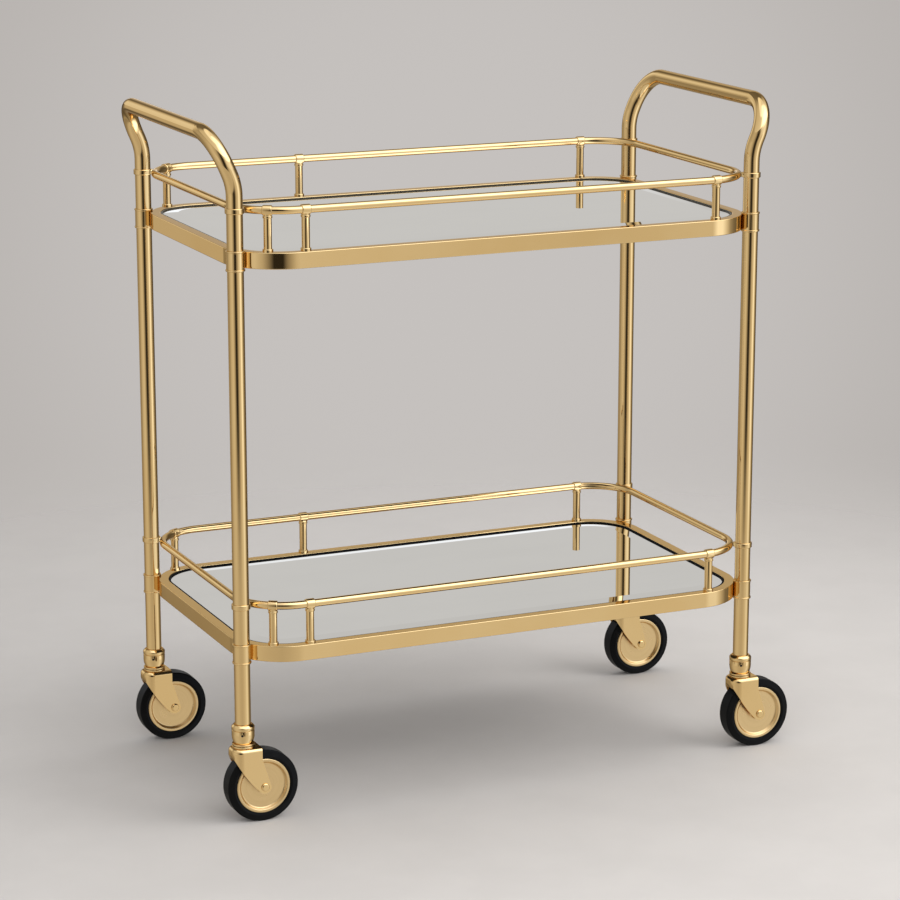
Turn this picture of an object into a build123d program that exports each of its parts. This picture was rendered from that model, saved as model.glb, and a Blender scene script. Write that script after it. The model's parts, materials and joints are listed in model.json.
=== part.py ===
from build123d import *
import os
from math import atan2, cos, degrees, radians, sin, sqrt, tan

# A two-tier serving cart of polished gold tube, with mirror trays, gallery rails and four swivel casters.
# Lengths are in millimetres. Z is up from the floor, X runs along the cart and -Y is its front.

# Trays
tray_length = 700
tray_width = 400
tray_corner_r = 72
band_h = 20
band_wall = 2
band_edge_r = 0.9
flange_w = 13
flange_t = 1.8
flange_edge_r = 1.2
lip_t = 1.5
ledge_w = 9
ledge_t = 1.5
lower_tray_top = 227
tray_spacing = 487

# Mirrors, the seals round them and the boards under them
mirror_recess = 0.8
mirror_t = 4
bevel_w = 20
bevel_drop = 1.4
seal_w = 2.5
seal_recess = 0.6
board_t = 3
panel_gap = 0.5

# Tubes of the posts and handles
tube_d = 20
tube_wall = 1.5
post_inset = 30
seat_depth = 0.5

# Sleeves at the trays
sleeve_d = 22
sleeve_h = 25
bead_d = 23.6
bead_h = 2.4

# Gallery rails
rail_d = 9.6
rail_inset = 6.8
rail_height = 50
ring_d = 23.4
ring_h = 7
ring_edge_r = 1.2
lug_d = 6.4

# Spindles and the tees that hold the rail
spindle_d = 10
foot_d = 13
foot_h = 4
foot_edge_r = 1
tee_d = 12.6
tee_l = 11.5
tee_edge_r = 1.2
neck_d = 9.6
neck_drop = 9.2
collar_d = 11.8
collar_h = 2.8
collar_edge_r = 0.6
corner_spindle_turns = {-1: 32, 1: 7}
front_spindle_x = -268
back_spindle_x = -126
spindle_screw_d = 4
spindle_screw_l = 12
spindle_screw_head_d = 7
spindle_screw_head_h = 2.4

# Handles
handle_height = 90.5
handle_bend_height = 30.5
handle_lean = 23
handle_bend_r = 70
handle_corner_r = 46

# Joints inside the tubes
plug_l = 18
stud_d = 8
stud_l = 32

# Caster sockets
socket_d = 28.4
socket_lip_d = 28.8
socket_mouth_d = 23
socket_foot_d = 23.6
socket_h = 24.3
socket_lip_h = 6.6
socket_slope_h = 3
socket_lip_r = 2.2
socket_groove = 1
socket_floor = 5
socket_taper_h = 10
socket_foot_r = 0.8
grub_d = 3
grub_l = 3
grub_recess = 0.6
grub_hex = 1.5
grub_turn = -24
leg_plug_l = 30

# Kingpin and swivel bearing
kingpin_d = 10
kingpin_head_d = 16
kingpin_head_h = 2.5
kingpin_reach = 26
race_d = 28
race_t = 2.3
race_edge_r = 0.6
race_gap = 0.6
ball_d = 2.6
ball_pitch_d = 18.4
ball_count = 12

# Caster forks
fork_t = 2.5
fork_inner_w = 28.4
fork_lead = 17.5
fork_tail = 19
fork_lip_h = 9.5
fork_tail_h = 16
fork_corner_r = 13
fork_shoulder_r = 5.5
fork_end_r = 8.5
fork_waist_x = -3
fork_waist_z = 16.5
fork_crown_gap = 3
trail = 22

# Wheels
wheel_d = 92
tyre_w = 24
tyre_face_w = 21.6
tyre_tread_w = 20
tyre_step = 3.3
tyre_shoulder_r = 2
rim_d = 70
rim_w = 22.8
rim_ring = 3.6
rim_edge_r = 1.3
disc_w = 16
dish_run = 2.6
dish_r = 2.2
hub_d = 17
axle_d = 6
axle_head_d = 10.4
axle_head_h = 2.3

# Clearances
running_gap = 0.05
fixed_gap = 0.05
side_gap = 0.3
seat_gap = 0.1

# Heights that follow from the sizes above
axle_z = wheel_d / 2
crown_top = wheel_d + fork_crown_gap + fork_t
socket_bottom = crown_top + 2 * race_t + race_gap
socket_top = socket_bottom + socket_h
tray_tops = {"lower": lower_tray_top, "upper": lower_tray_top + tray_spacing}
rail_levels = {name: top + rail_height for name, top in tray_tops.items()}
joint_levels = {name: top - band_h / 2 for name, top in tray_tops.items()}
bar_level = rail_levels["upper"] + handle_height

# The arc at each tray corner, and where the post stands against it
corner_x = tray_length / 2 - tray_corner_r
corner_y = tray_width / 2 - tray_corner_r
post_reach = tray_corner_r + sleeve_d / 2 - seat_depth
post_y = tray_width / 2 - post_inset
post_x = corner_x + sqrt(post_reach**2 - (post_y - corner_y) ** 2)
post_angle = degrees(atan2(post_y - corner_y, post_x - corner_x))
rail_corner_r = tray_corner_r - rail_inset
handle_reach = (handle_height - handle_bend_height) * tan(radians(handle_lean))

# The origin is the middle of the footprint on the floor, which the trailing wheels shift from the trays' middle.
x_high = max(post_x + trail + wheel_d / 2, post_x + handle_reach + tube_d / 2)
x_low = -(post_x + handle_reach + tube_d / 2)
middle_x = (x_high + x_low) / 2

corners = {
    "front_left": (-1, -1),
    "front_right": (1, -1),
    "back_left": (-1, 1),
    "back_right": (1, 1),
}
nodes = {}


def post_place(sx, sy, z=0):
    """Place with its origin on a post's axis at height z."""
    return Pos(sx * post_x, sy * post_y, z)


def inward_place(sx, sy, z=0):
    """Place on a post's axis whose +X points level at the centre of the tray's corner arc."""
    turn = degrees(atan2(-sy * sin(radians(post_angle)), -sx * cos(radians(post_angle))))
    return post_place(sx, sy, z) * Rot(0, 0, turn)


def rounded_outline(inset):
    """Tray outline moved inwards by inset."""
    return RectangleRounded(
        tray_length - 2 * inset, tray_width - 2 * inset, tray_corner_r - inset
    )


def slab(outline, low, high):
    """Flat piece from height low to height high."""
    return extrude(Pos(0, 0, low) * outline, high - low)


def turned(points):
    """Solid turned about Z from (radius, height) points."""
    face = make_face(Plane.XZ * Polyline(*points, close=True))
    return revolve(face, Axis.Z)


def washer(outer_d, inner_d, height):
    """Ring that stands on its own origin."""
    up = (Align.CENTER, Align.CENTER, Align.MIN)
    return Cylinder(outer_d / 2, height, align=up) - Cylinder(inner_d / 2, height, align=up)


def rod(diameter, low, high):
    """Upright round bar from height low to height high."""
    return Pos(0, 0, low) * Cylinder(
        diameter / 2, high - low, align=(Align.CENTER, Align.CENTER, Align.MIN)
    )


def pipe(low, high):
    """Upright length of the post tube."""
    return rod(tube_d, low, high) - rod(tube_d - 2 * tube_wall, low, high)


def circles(shape, radius):
    """Round edges of one radius, from the lowest up."""
    found = shape.edges().filter_by(GeomType.CIRCLE)
    return [e for e in found.sort_by(Axis.Z) if abs(e.radius - radius) < 1e-6]


def group(shapes):
    """Several separate solids that share one node."""
    return Compound([solid for shape in shapes for solid in shape.solids()])


def tray_frame(top):
    """Band with a top flange, a lip that falls beside the mirror and a ledge under the board."""
    lip_bottom = top - mirror_recess - mirror_t - board_t - ledge_t
    band = slab(rounded_outline(0), top - band_h, top)
    rims = band.faces().sort_by(Axis.Z)[0].edges() + band.faces().sort_by(Axis.Z)[-1].edges()
    band = fillet(rims, band_edge_r)
    band -= slab(rounded_outline(band_wall), top - band_h, top - flange_t)
    band -= slab(rounded_outline(flange_w), top - flange_t, top)
    lip = slab(rounded_outline(flange_w - lip_t), lip_bottom, top - flange_t)
    lip -= slab(rounded_outline(flange_w), lip_bottom + ledge_t, top - flange_t)
    lip -= slab(rounded_outline(flange_w + ledge_w), lip_bottom, lip_bottom + ledge_t)
    frame = band + lip
    inner_rim = frame.faces().sort_by(Axis.Z)[-1].inner_wires()[0].edges()
    frame = fillet(inner_rim, flange_edge_r)
    hole = rod(spindle_screw_d + 2 * fixed_gap, top - 2 * flange_t, top + flange_t)
    places = list(corner_spindle_places()) + list(side_spindle_places())
    return frame - [place * hole for place in places]


def mirror(top):
    """Mirror panel with a wide bevel round its upper edge."""
    outline = rounded_outline(flange_w + seal_w + fixed_gap)
    panel = slab(outline, top - mirror_recess - mirror_t, top - mirror_recess)
    edges = panel.faces().sort_by(Axis.Z)[-1].edges()
    side = panel.faces().sort_by(Axis.Z)[-1]
    return chamfer(edges, bevel_w, bevel_drop, reference=side)


def seal(top):
    """Strip that fills the gap between the lip and the mirror's edge."""
    low, high = top - mirror_recess - mirror_t, top - seal_recess
    room = slab(rounded_outline(flange_w + seal_w), low, high)
    return slab(rounded_outline(flange_w + fixed_gap), low, high) - room


def board(top):
    """Plain board that carries the mirror on the tray's ledge."""
    high = top - mirror_recess - mirror_t
    return slab(rounded_outline(flange_w + panel_gap), high - board_t, high)


def gallery_rail(level):
    """Rod bent into one loop round the tray."""
    length = tray_length - 2 * rail_inset
    width = tray_width - 2 * rail_inset
    path = Pos(0, 0, level) * RectangleRounded(length, width, rail_corner_r).wire()
    start = Plane(origin=(0, -width / 2, level), z_dir=(1, 0, 0))
    loop = sweep(start * Circle(rail_d / 2), path)
    return loop


def corner_spindle_places():
    """Places on the corner arcs, with +X outwards across the rail."""
    for sx, turn in corner_spindle_turns.items():
        for sy in (-1, 1):
            centre = Pos(sx * corner_x, sy * corner_y)
            yield centre * Rot(0, 0, sy * (90 - sx * turn)) * Pos(rail_corner_r, 0)


def side_spindle_places():
    """Places on the long sides."""
    rail_y = tray_width / 2 - rail_inset
    yield Pos(front_spindle_x, -rail_y)
    yield Pos(back_spindle_x, rail_y)


def spindle(top):
    """Upright with a turned foot, from the flange to the neck of its tee."""
    foot = fillet(
        rod(foot_d, 0, foot_h).edges().sort_by(Axis.Z)[-1], foot_edge_r
    )
    stem = rod(spindle_d, 0, rail_height - neck_drop)
    hole = rod(spindle_screw_d + 2 * fixed_gap, 0, spindle_screw_l)
    return Pos(0, 0, top) * (foot + stem - hole)


def tee_neck(level):
    """Short neck under the rail, with a collar on the spindle."""
    low = level - neck_drop
    collar = rod(collar_d, low, low + collar_h)
    return rod(neck_d, low, level) + fillet(collar.edges().filter_by(GeomType.CIRCLE), collar_edge_r)


def rail_bore():
    return rail_d + 2 * fixed_gap


def straight_tee(level):
    """Short sleeve on a straight run of rail, with its neck."""
    along = Pos(0, 0, level) * Rot(0, 90, 0)
    sleeve = fillet(circles(Cylinder(tee_d / 2, tee_l), tee_d / 2), tee_edge_r)
    body = along * sleeve + tee_neck(level)
    return body - along * Cylinder(rail_bore() / 2, 2 * tee_l)


def bent_run(diameter, length, level):
    """Piece of bent rod that follows the rail's corner arc, centred on its own origin."""
    half = degrees(length / 2 / rail_corner_r)
    centre = Axis((-rail_corner_r, 0, 0), (0, 0, 1))
    section = Plane(origin=(0, 0, level), z_dir=(0, 1, 0)) * Circle(diameter / 2)
    return revolve(section.rotate(centre, -half), centre, 2 * half)


def bent_tee(level):
    """Short sleeve on a corner arc, with its neck."""
    sleeve = bent_run(tee_d, tee_l, level)
    body = fillet(circles(sleeve, tee_d / 2), tee_edge_r) + tee_neck(level)
    return body - bent_run(rail_bore(), 2 * tee_l, level)


def spindle_screw(top):
    """Screw that holds a spindle from under the flange."""
    under = top - flange_t
    shank = rod(spindle_screw_d, under, top + spindle_screw_l - 1)
    return shank + rod(spindle_screw_head_d, under - spindle_screw_head_h, under)


def rail_ring(sx, sy, level):
    """Ring on a post with a lug that reaches the rail."""
    ring = rod(ring_d, -ring_h / 2, ring_h / 2)
    ring = fillet(ring.edges().filter_by(GeomType.CIRCLE), ring_edge_r)
    reach = post_reach - rail_corner_r
    lug = Pos(reach / 2, 0, 0) * Rot(0, 90, 0) * Cylinder(lug_d / 2, reach)
    body = inward_place(sx, sy, level) * (ring + lug)
    body -= post_place(sx, sy) * rod(tube_d + 2 * fixed_gap, level - ring_h, level + ring_h)
    arc = Pos(sx * corner_x, sy * corner_y, level) * Torus(rail_corner_r, rail_bore() / 2)
    return body - arc


def tray_sleeve(sx, sy, level):
    """Sleeve with a bead at each end, hollowed where it sits against the band."""
    r = sleeve_d / 2
    half = sleeve_h / 2
    body = rod(sleeve_d, -half, half)
    for low in (-half, half - bead_h):
        bead = rod(bead_d, low, low + bead_h)
        body += fillet(bead.edges().filter_by(GeomType.CIRCLE), (bead_d - sleeve_d) / 2 * 0.9)
    body = post_place(sx, sy, level) * body
    body -= post_place(sx, sy) * rod(tube_d + 2 * fixed_gap, level - r - half, level + r + half)
    seat_h = band_h / 2 + seat_gap
    return body - slab(rounded_outline(0), level - seat_h, level + seat_h)


def handle(sx):
    """One tube bent into a leaning arch over two posts."""
    low = joint_levels["upper"]
    bend = rail_levels["upper"] + handle_bend_height
    outer_x = post_x + handle_reach
    points = [
        (sx * post_x, -post_y, low),
        (sx * post_x, -post_y, bend),
        (sx * outer_x, -post_y, bar_level),
        (sx * outer_x, post_y, bar_level),
        (sx * post_x, post_y, bend),
        (sx * post_x, post_y, low),
    ]
    radii = [handle_bend_r, handle_corner_r, handle_corner_r, handle_bend_r]
    path = FilletPolyline(*points, radius=radii)
    start = Plane(origin=points[0], z_dir=(0, 0, 1))
    return sweep(start * (Circle(tube_d / 2) - Circle(tube_d / 2 - tube_wall)), path)


def joiner_plug():
    """Threaded plug that fills a tube's end."""
    outer = tube_d - 2 * tube_wall - 2 * fixed_gap
    return washer(outer, stud_d + 2 * fixed_gap, plug_l)


def socket():
    """Turned ferrule for the leg: a domed lip, a groove and a barrel that curves in to its foot."""
    mouth, lip = socket_mouth_d / 2, socket_lip_d / 2
    belly, foot = socket_d / 2, socket_foot_d / 2
    belly_low = socket_bottom + socket_taper_h
    lip_low = socket_top - socket_lip_h
    groove_low = lip_low - socket_groove
    middle = (belly - (belly - foot) / 4, socket_bottom + socket_taper_h / 2)
    outside = [
        Polyline((0, socket_top), (0, socket_bottom), (foot, socket_bottom)),
        ThreePointArc((foot, socket_bottom), middle, (belly, belly_low)),
        Polyline(
            (belly, belly_low),
            (belly, groove_low),
            (belly - socket_groove, groove_low),
            (belly - socket_groove, lip_low),
            (lip, lip_low),
            (lip, socket_top - socket_slope_h),
            (mouth, socket_top),
            (0, socket_top),
        ),
    ]
    body = revolve(Plane.XZ * make_face(outside), Axis.Z)
    body = fillet(circles(body, lip)[-1:], socket_lip_r)
    body = fillet(circles(body, foot), socket_foot_r)
    body -= rod(tube_d + 2 * fixed_gap, socket_bottom + socket_floor, socket_top)
    body -= rod(kingpin_d + 2 * fixed_gap, socket_bottom, socket_top)
    return body - grub_place() * rod(grub_d + 2 * fixed_gap, 0, socket_lip_d)


def grub_place():
    """Place on a socket's axis whose +Z points out along the grub screw."""
    level = (socket_bottom + socket_floor + socket_top - socket_lip_h) / 2 + 1
    return Pos(0, 0, level) * Rot(0, 0, grub_turn) * Rot(90, 0, 0)


def grub_screw():
    """Headless screw with a hexagonal socket, just under the ferrule's surface."""
    face = socket_d / 2 - grub_recess
    body = rod(grub_d, face - grub_l, face)
    hexagon = RegularPolygon(grub_hex / 2, 6, major_radius=False)
    recess = extrude(Pos(0, 0, face - grub_l / 2) * hexagon, grub_l)
    return grub_place() * (body - recess)


def kingpin():
    """Pin that the fork turns on, with its head under the crown."""
    under = crown_top - fork_t - side_gap
    head = rod(kingpin_head_d, under - kingpin_head_h, under)
    head = fillet(head.edges().sort_by(Axis.Z)[0], kingpin_head_h / 2)
    return head + rod(kingpin_d, under, socket_bottom + kingpin_reach)


def race(low, pin_gap, groove_gap):
    """Ring of the swivel bearing with half of the ball groove."""
    ring = rod(race_d, low, low + race_t)
    ring = fillet(ring.edges().filter_by(GeomType.CIRCLE), race_edge_r)
    ring -= rod(kingpin_d + 2 * pin_gap, low, low + race_t)
    return ring - Pos(0, 0, ball_level()) * Torus(ball_pitch_d / 2, ball_d / 2 + groove_gap)


def ball_level():
    """Height of the ball centres."""
    return crown_top + race_t + race_gap / 2


def balls():
    """Ring of bearing balls."""
    ball = Pos(0, 0, ball_level()) * Sphere(ball_d / 2)
    return [
        Rot(0, 0, 360 * i / ball_count) * Pos(ball_pitch_d / 2, 0, 0) * ball
        for i in range(ball_count)
    ]


def hood(wall):
    """Block under the fork's skin, moved in by wall: rounded in front and over the top, open behind."""
    half = fork_inner_w / 2 + fork_t - wall
    front, back = wall - fork_lead, trail + wheel_d
    plan = Pos((front + back) / 2, 0) * Rectangle(back - front, 2 * half)
    plan = fillet(plan.vertices().sort_by(Axis.X)[:2], fork_corner_r - wall)
    block = slab(plan, 0, crown_top - wall)
    rims = block.faces().sort_by(Axis.Z)[-1].edges().sort_by(Axis.X)[:-1]
    return fillet(rims, fork_shoulder_r - wall)


def fork_side():
    """Side view of the fork: a short front lip, a straight back edge and an arm that tapers to the axle."""
    low, behind = crown_top - fork_lip_h, crown_top - fork_tail_h
    slant = fork_end_r * sqrt(0.5)
    tail_foot = (trail + fork_end_r, axle_z)
    lead_foot = (trail - slant, axle_z - slant)
    waist = (fork_waist_x, axle_z + fork_waist_z)
    outline = [
        Polyline((-fork_lead, low), (-wheel_d, low), (-wheel_d, 2 * wheel_d), (fork_tail, 2 * wheel_d)),
        Polyline((fork_tail, 2 * wheel_d), (fork_tail, behind), tail_foot),
        ThreePointArc(tail_foot, (trail, axle_z - fork_end_r), lead_foot),
        ThreePointArc(lead_foot, waist, (-fork_lead, low)),
    ]
    return Plane.XZ * make_face(outline)


def fork():
    """Pressed fork: a crown with rounded corners and shoulders, a short front lip and two tapering arms."""
    body = hood(0) & extrude(fork_side(), wheel_d, both=True)
    body -= hood(fork_t)
    body -= rod(kingpin_d + 2 * running_gap, crown_top - 2 * fork_t, crown_top + fork_t)
    pin_hole = Cylinder(axle_d / 2 + fixed_gap, wheel_d)
    return body - Pos(trail, 0, axle_z) * Rot(90, 0, 0) * pin_hole


def axle():
    """Rivet with a domed head outside each arm."""
    outer = fork_inner_w / 2 + fork_t
    head = rod(axle_head_d, outer, outer + axle_head_h)
    head = fillet(head.edges().sort_by(Axis.Z)[-1], axle_head_h * 0.85)
    body = rod(axle_d, -outer, outer) + head + Rot(180, 0, 0) * head
    return Pos(trail, 0, axle_z) * Rot(90, 0, 0) * body


def wheel_centre():
    """Dished disc with a raised ring at each face, a hub and a plain bore."""
    bore, hub, rim = axle_d / 2 + running_gap, hub_d / 2, rim_d / 2
    ring, hub_half = rim - rim_ring, fork_inner_w / 2 - side_gap
    dish = ring - dish_run
    half = [(bore, hub_half), (hub, hub_half), (hub, disc_w / 2), (dish, disc_w / 2)]
    half += [(ring, rim_w / 2), (rim, rim_w / 2)]
    disc = turned(half + [(r, -z) for r, z in reversed(half)])
    disc = fillet(circles(disc, dish), dish_r)
    disc = fillet(circles(disc, ring) + circles(disc, rim), rim_edge_r)
    return Pos(trail, 0, axle_z) * Rot(90, 0, 0) * disc


def tyre():
    """Solid tyre whose faces widen from the rim and lean in to a crisp shoulder beside a flat tread."""
    seat = rim_d / 2 + fixed_gap
    step, out = seat + tyre_step, wheel_d / 2
    half = [(seat, tyre_face_w / 2), (step, tyre_w / 2), (out, tyre_tread_w / 2)]
    ring = turned(half + [(r, -z) for r, z in reversed(half)])
    ring = fillet(circles(ring, out), tyre_shoulder_r)
    return Pos(trail, 0, axle_z) * Rot(90, 0, 0) * ring


for name, top in tray_tops.items():
    level = rail_levels[name]
    joint = joint_levels[name]
    bent = list(corner_spindle_places())
    straight = list(side_spindle_places())
    nodes[f"{name}_tray_frame"] = tray_frame(top)
    nodes[f"{name}_mirror"] = mirror(top)
    nodes[f"{name}_mirror_seal"] = seal(top)
    nodes[f"{name}_backing_board"] = board(top)
    nodes[f"{name}_gallery_rail"] = gallery_rail(level)
    nodes[f"{name}_spindles"] = group([p * spindle(top) for p in bent + straight])
    nodes[f"{name}_rail_tees"] = group(
        [p * bent_tee(level) for p in bent] + [p * straight_tee(level) for p in straight]
    )
    nodes[f"{name}_rail_rings"] = group([rail_ring(*c, level) for c in corners.values()])
    nodes[f"{name}_tray_sleeves"] = group([tray_sleeve(*c, joint) for c in corners.values()])

all_spindles = list(corner_spindle_places()) + list(side_spindle_places())
nodes["spindle_screws"] = group(
    [p * spindle_screw(top) for top in tray_tops.values() for p in all_spindles]
)
nodes["handle_left"] = handle(-1)
nodes["handle_right"] = handle(1)

plug_lows = [z + side * plug_l for z in joint_levels.values() for side in (-1, 0)]
nodes["joiner_plugs"] = group(
    [post_place(*c, low) * joiner_plug() for low in plug_lows for c in corners.values()]
)
nodes["joiner_studs"] = group(
    [
        post_place(*c) * rod(stud_d, z - stud_l / 2, z + stud_l / 2)
        for z in joint_levels.values()
        for c in corners.values()
    ]
)
leg_low = socket_bottom + socket_floor
leg_plug_d = tube_d - 2 * tube_wall - 2 * fixed_gap
leg_plug = Pos(0, 0, leg_low) * washer(leg_plug_d, kingpin_d + 2 * fixed_gap, leg_plug_l)
upper_race = race(crown_top + race_t + race_gap, fixed_gap, fixed_gap)
lower_race = race(crown_top, running_gap, side_gap)
nodes["leg_end_plugs"] = group([post_place(*c) * leg_plug for c in corners.values()])
nodes["kingpins"] = group([post_place(*c) * kingpin() for c in corners.values()])
nodes["upper_races"] = group([post_place(*c) * upper_race for c in corners.values()])
nodes["bearing_balls"] = group([post_place(*c) * b for c in corners.values() for b in balls()])
nodes["socket_grub_screws"] = group([post_place(*c) * grub_screw() for c in corners.values()])

for corner, (sx, sy) in corners.items():
    place = post_place(sx, sy)
    nodes[f"post_{corner}"] = place * pipe(joint_levels["lower"], joint_levels["upper"])
    nodes[f"leg_{corner}"] = place * pipe(leg_low, joint_levels["lower"])
    nodes[f"caster_socket_{corner}"] = place * socket()
    nodes[f"lower_race_{corner}"] = place * lower_race
    nodes[f"caster_fork_{corner}"] = place * fork()
    nodes[f"axle_{corner}"] = place * axle()
    nodes[f"wheel_centre_{corner}"] = place * wheel_centre()
    nodes[f"tyre_{corner}"] = place * tyre()

os.makedirs("parts", exist_ok=True)
shift = Pos(-middle_x, 0, 0)
for name, shape in nodes.items():
    export_step(Compound([shift * solid for solid in shape.solids()]), f"parts/{name}.step")
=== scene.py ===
"""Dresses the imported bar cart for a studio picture: surfaces, finishes, stage, lamps and camera."""

import json
import math

import bmesh
import bpy
import numpy as np
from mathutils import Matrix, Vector

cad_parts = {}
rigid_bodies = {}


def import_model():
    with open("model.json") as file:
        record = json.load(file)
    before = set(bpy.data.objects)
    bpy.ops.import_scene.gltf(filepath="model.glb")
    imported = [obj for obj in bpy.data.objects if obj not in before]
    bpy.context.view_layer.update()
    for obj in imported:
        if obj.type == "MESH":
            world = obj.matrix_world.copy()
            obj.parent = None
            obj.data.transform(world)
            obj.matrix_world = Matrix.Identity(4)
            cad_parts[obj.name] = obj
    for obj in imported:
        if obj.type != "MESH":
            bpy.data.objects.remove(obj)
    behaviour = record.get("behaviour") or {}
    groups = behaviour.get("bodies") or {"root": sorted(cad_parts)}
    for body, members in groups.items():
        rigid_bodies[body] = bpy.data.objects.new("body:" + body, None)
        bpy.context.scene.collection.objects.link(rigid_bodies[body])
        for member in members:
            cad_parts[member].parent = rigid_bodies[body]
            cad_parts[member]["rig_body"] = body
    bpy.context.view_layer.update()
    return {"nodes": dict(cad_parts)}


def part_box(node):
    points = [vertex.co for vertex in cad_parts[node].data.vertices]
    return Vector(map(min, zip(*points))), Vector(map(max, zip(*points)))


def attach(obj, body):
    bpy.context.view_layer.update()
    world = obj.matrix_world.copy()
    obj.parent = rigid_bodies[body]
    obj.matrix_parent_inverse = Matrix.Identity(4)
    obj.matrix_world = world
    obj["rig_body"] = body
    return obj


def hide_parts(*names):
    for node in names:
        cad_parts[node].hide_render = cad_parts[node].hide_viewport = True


bl_info = {
    "name": "Bar Cart Dresser",
    "version": (1, 0, 0),
    "blender": (4, 5, 0),
    "location": "3D View > Sidebar > Bar Cart",
    "description": "Builds the visible surfaces, finishes and studio of a two-tier bar cart",
    "category": "Object",
}

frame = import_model()

CORNERS = ("front_left", "front_right", "back_left", "back_right")
TIERS = ("lower", "upper")
# Lengths in metres: how close points are to be one, the space between mirror and seal, and the
# roundings at the corners of the seal's, the wheel disc's and the tyre's sections.
WELD = 1e-6
SEAL_GAP = 0.00005
SEAL_RADII = (0.0002, 0.0004, 0.0006, 0.0002)
RIM_RADII = (0.0, 0.0012, 0.0015, 0.0022, 0.0013, 0.0013)
TYRE_RADII = (0.0004, 0.0012, 0.002)
BAND_FOOT = 0.3  # rounding inside the band's lower edge, as a share of that outside
# Points along or round the surfaces that have no count of their own below.
POST_RINGS = 9
RAIL_SIDES = 40
FLOOR_RINGS = 24
FLOOR_SIDES = 96
MATERIALS = {}


def middle(node):
    """Middle of a CAD node's box."""
    low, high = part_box(node)
    return (np.array(low) + np.array(high)) / 2


def size(node):
    """Width, depth and height of a CAD node's box."""
    low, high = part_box(node)
    return np.array(high) - np.array(low)


TRAY_SIZE = size("upper_tray_frame")
TUBE_D = float(size("post_front_left")[0])
RAIL_D = float(size("upper_gallery_rail")[2])
WHEEL_D = float(size("tyre_front_left")[2])


def length(label, metres, text):
    """Length property that shows in the scene's units."""
    return bpy.props.FloatProperty(
        name=label,
        description=text,
        default=metres,
        min=0.0,
        unit="LENGTH",
        subtype="DISTANCE",
        precision=5,
    )


def angle(label, degrees, text):
    """Angle property, given in degrees and kept in radians."""
    return bpy.props.FloatProperty(
        name=label,
        description=text,
        default=math.radians(degrees),
        unit="ROTATION",
        subtype="ANGLE",
    )


def colour(label, rgb, text):
    """Colour property in linear values."""
    return bpy.props.FloatVectorProperty(
        name=label, description=text, default=rgb, size=3, min=0.0, max=1.0, subtype="COLOR"
    )


def amount(label, value, text):
    """Plain number property."""
    return bpy.props.FloatProperty(name=label, description=text, default=value, min=0.0)


def scaled(rgb, factor):
    """Colour made lighter or darker."""
    return tuple(v * factor for v in rgb)


class CartSizes(bpy.types.PropertyGroup):
    """Sizes of the surfaces, where the frame's boxes don't give them."""

    corner_r: length("Tray corner", 0.072, "Radius of the tray's outer corners")
    band_wall: length("Band wall", 0.002, "Thickness of the tray's band")
    band_edge: length("Band edge", 0.0009, "Rounding along the band's edges")
    flange_w: length("Flange width", 0.013, "Width of the tray's top flange")
    flange_t: length("Flange thickness", 0.0018, "Thickness of the tray's top flange")
    flange_edge: length("Flange edge", 0.0012, "Rounding of the flange's inner edge")
    lip_t: length("Lip thickness", 0.0015, "Thickness of the lip beside the mirror")
    ledge_w: length("Ledge width", 0.009, "Width of the ledge under the board")
    ledge_t: length("Ledge thickness", 0.0015, "Thickness of the ledge under the board")
    bevel_w: length("Mirror bevel", 0.020, "Width of the bevel round the mirror")
    bevel_drop: length("Bevel drop", 0.0014, "Height that the bevel loses")
    tube_wall: length("Tube wall", 0.0015, "Wall of the post and handle tube")
    bend_height: length("Bend height", 0.0305, "Height of the handle's bend above the rail")
    bend_r: length("Bend radius", 0.070, "Radius where a handle starts to lean")
    bar_corner_r: length("Bar corner", 0.046, "Radius between a handle's leg and its bar")
    rim_d: length("Rim diameter", 0.070, "Diameter of the wheel's disc")
    rim_ring: length("Rim ring", 0.0036, "Width of the raised ring round the disc")
    disc_w: length("Disc width", 0.016, "Width of the wheel's disc between its faces")
    dish_run: length("Dish run", 0.0026, "Width of the slope between the ring and the disc")
    rim_w: length("Rim width", 0.0228, "Width of the disc over its raised rings")
    hub_d: length("Hub diameter", 0.017, "Diameter of the wheel's hub")
    bore_d: length("Bore diameter", 0.0061, "Diameter of the wheel's bore")
    tread_w: length("Tread width", 0.020, "Width of the tyre's tread between its shoulders")
    tyre_step: length("Tyre step", 0.0033, "Height above the rim at which the tyre is widest")
    face_w: length("Tyre face width", 0.0216, "Width of the tyre beside the rim")


class CartColours(bpy.types.PropertyGroup):
    """Colours of the cart's finishes."""

    gold: colour("Gold", (0.83, 0.585, 0.27), "Polished gold plate")
    gold_deep: colour("Deep gold", (0.77, 0.51, 0.205), "Polished gold plate where it has toned")
    gold_edge: colour("Gold edge", (0.82, 0.72, 0.58), "Tint of the gold plate where it turns away")
    satin: colour("Satin gold", (0.77, 0.545, 0.262), "Satin gold of the wheel discs")
    satin_deep: colour("Deep satin gold", (0.66, 0.45, 0.195), "Satin gold between the marks")
    silver: colour("Mirror", (0.90, 0.905, 0.90), "Silvering of the mirrors")
    rubber: colour("Rubber", (0.004, 0.004, 0.0040), "Tyres and the lower mirror's seal")
    rubber_dust: colour("Rubber dust", (0.010, 0.0098, 0.0092), "Tyres where dust has settled")
    # Upper seal: near-black rubber with a brown tint painted in as a reflection of the gold round it.
    # Its dust colour carries the same painted reflection.
    seal_painted_reflection: colour("Painted-reflection seal", (0.036, 0.029, 0.017), "Seal of the upper mirror")
    seal_painted_reflection_dust: colour("Dust on the painted-reflection seal", (0.05, 0.042, 0.028), "The upper seal under dust")
    board: colour("Board", (0.018, 0.016, 0.015), "Boards under the mirrors")
    steel: colour("Steel", (0.56, 0.56, 0.57), "Screws and plugs")
    black_steel: colour("Black steel", (0.03, 0.03, 0.032), "Grub screws with a black oxide finish")


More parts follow.
